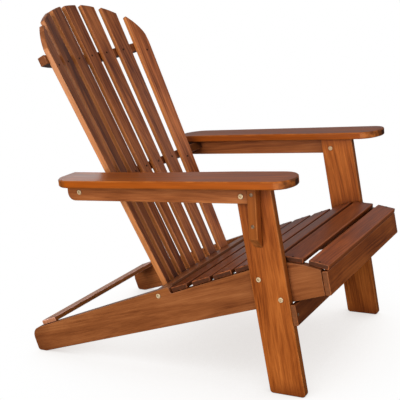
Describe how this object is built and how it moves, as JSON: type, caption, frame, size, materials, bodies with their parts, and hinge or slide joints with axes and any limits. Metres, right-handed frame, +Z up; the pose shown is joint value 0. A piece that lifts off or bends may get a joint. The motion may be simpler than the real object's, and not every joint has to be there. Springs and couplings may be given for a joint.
{
  "type": "adirondack chair",
  "caption": "Low garden armchair with a fan-shaped hollow slatted back, sloping slatted seat, wide flat arms and side rails that run to the ground behind.",
  "frame": {"origin": "on the ground, at the centre of the chair's bounding box seen from above", "axes": "+Z up, the sitter faces -Y, +X towards the sitter's left"},
  "size_m": [0.7336, 0.865, 0.9149],
  "materials": {
    "frame_boards": "oiled reddish-brown hardwood, semi-gloss",
    "arm_boards": "oiled reddish-brown hardwood, semi-gloss",
    "seat_boards": "oiled reddish-brown hardwood, semi-gloss",
    "back_slats": "oiled reddish-brown hardwood, semi-gloss",
    "brass_hardware": "yellow-plated socket bolts and nuts",
    "zinc_screws": "plated countersunk wood screws"
  },
  "bodies": {
    "root": {"arm_bolt_left": "brass_hardware", "arm_bolt_right": "brass_hardware", "arm_bracket_left": "frame_boards", "arm_bracket_right": "frame_boards", "arm_left": "arm_boards", "arm_nut_left": "brass_hardware", "arm_nut_right": "brass_hardware", "arm_rail_left": "frame_boards", "arm_rail_right": "frame_boards", "arm_right": "arm_boards", "back_slat_1": "back_slats", "back_slat_2": "back_slats", "back_slat_3": "back_slats", "back_slat_4": "back_slats", "back_slat_5": "back_slats", "back_slat_6": "back_slats", "back_slat_7": "back_slats", "bracket_screw_1_left": "zinc_screws", "bracket_screw_1_right": "zinc_screws", "bracket_screw_2_left": "zinc_screws", "bracket_screw_2_right": "zinc_screws", "front_apron": "seat_boards", "front_leg_left": "frame_boards", "front_leg_right": "frame_boards", "front_stretcher": "seat_boards", "leg_bolt_1_left": "brass_hardware", "leg_bolt_1_right": "brass_hardware", "leg_bolt_2_left": "brass_hardware", "leg_bolt_2_right": "brass_hardware", "leg_nut_1_left": "brass_hardware", "leg_nut_1_right": "brass_hardware", "leg_nut_2_left": "brass_hardware", "leg_nut_2_right": "brass_hardware", "lower_back_rail": "frame_boards", "lower_rail_bolt_left": "brass_hardware", "lower_rail_bolt_right": "brass_hardware", "lower_rail_nut_left": "brass_hardware", "lower_rail_nut_right": "brass_hardware", "middle_back_rail": "frame_boards", "middle_rail_bolt_left": "brass_hardware", "middle_rail_bolt_right": "brass_hardware", "middle_rail_nut_left": "brass_hardware", "middle_rail_nut_right": "brass_hardware", "rear_cross_slat": "seat_boards", "seat_slat_1": "seat_boards", "seat_slat_2": "seat_boards", "seat_slat_3": "seat_boards", "seat_slat_4": "seat_boards", "seat_slat_5": "seat_boards", "seat_slat_6": "seat_boards", "seat_slat_7": "seat_boards", "side_rail_left": "frame_boards", "side_rail_right": "frame_boards", "stretcher_screw_left": "zinc_screws", "stretcher_screw_right": "zinc_screws", "upper_back_rail": "frame_boards"}
  },
  "joints": []
}
